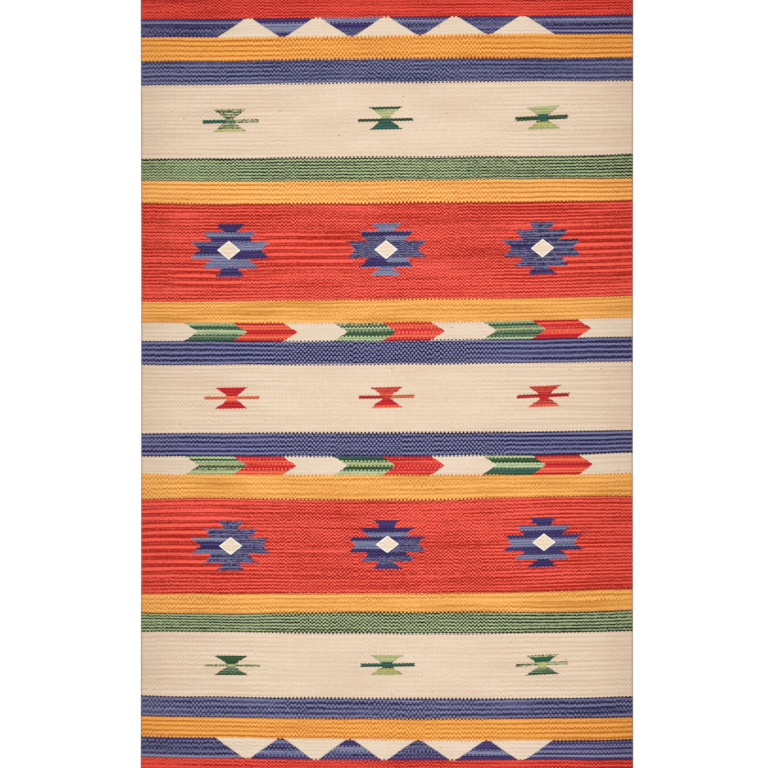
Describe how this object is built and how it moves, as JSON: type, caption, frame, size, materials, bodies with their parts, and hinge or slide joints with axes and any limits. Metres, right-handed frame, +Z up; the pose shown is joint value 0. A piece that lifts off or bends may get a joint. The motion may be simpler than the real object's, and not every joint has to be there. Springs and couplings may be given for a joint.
{
  "type": "kilim rug",
  "caption": "Rectangular flat-woven rug with straight selvedges and plain ends, woven across in coloured bands with small stepped motifs, lying flat.",
  "frame": {"origin": "on the floor, under the middle of the rug", "axes": "+Y along the length and the warps, +X across the width and along the wefts, +Z up from the floor"},
  "size_m": [1.524, 2.449, 0.005],
  "materials": {
    "woven_wool": "matt weft-faced wool weave in madder red, ochre, indigo, green and undyed cream, with light and dark weft lines"
  },
  "bodies": {
    "root": {"rug": "woven_wool"}
  },
  "joints": []
}
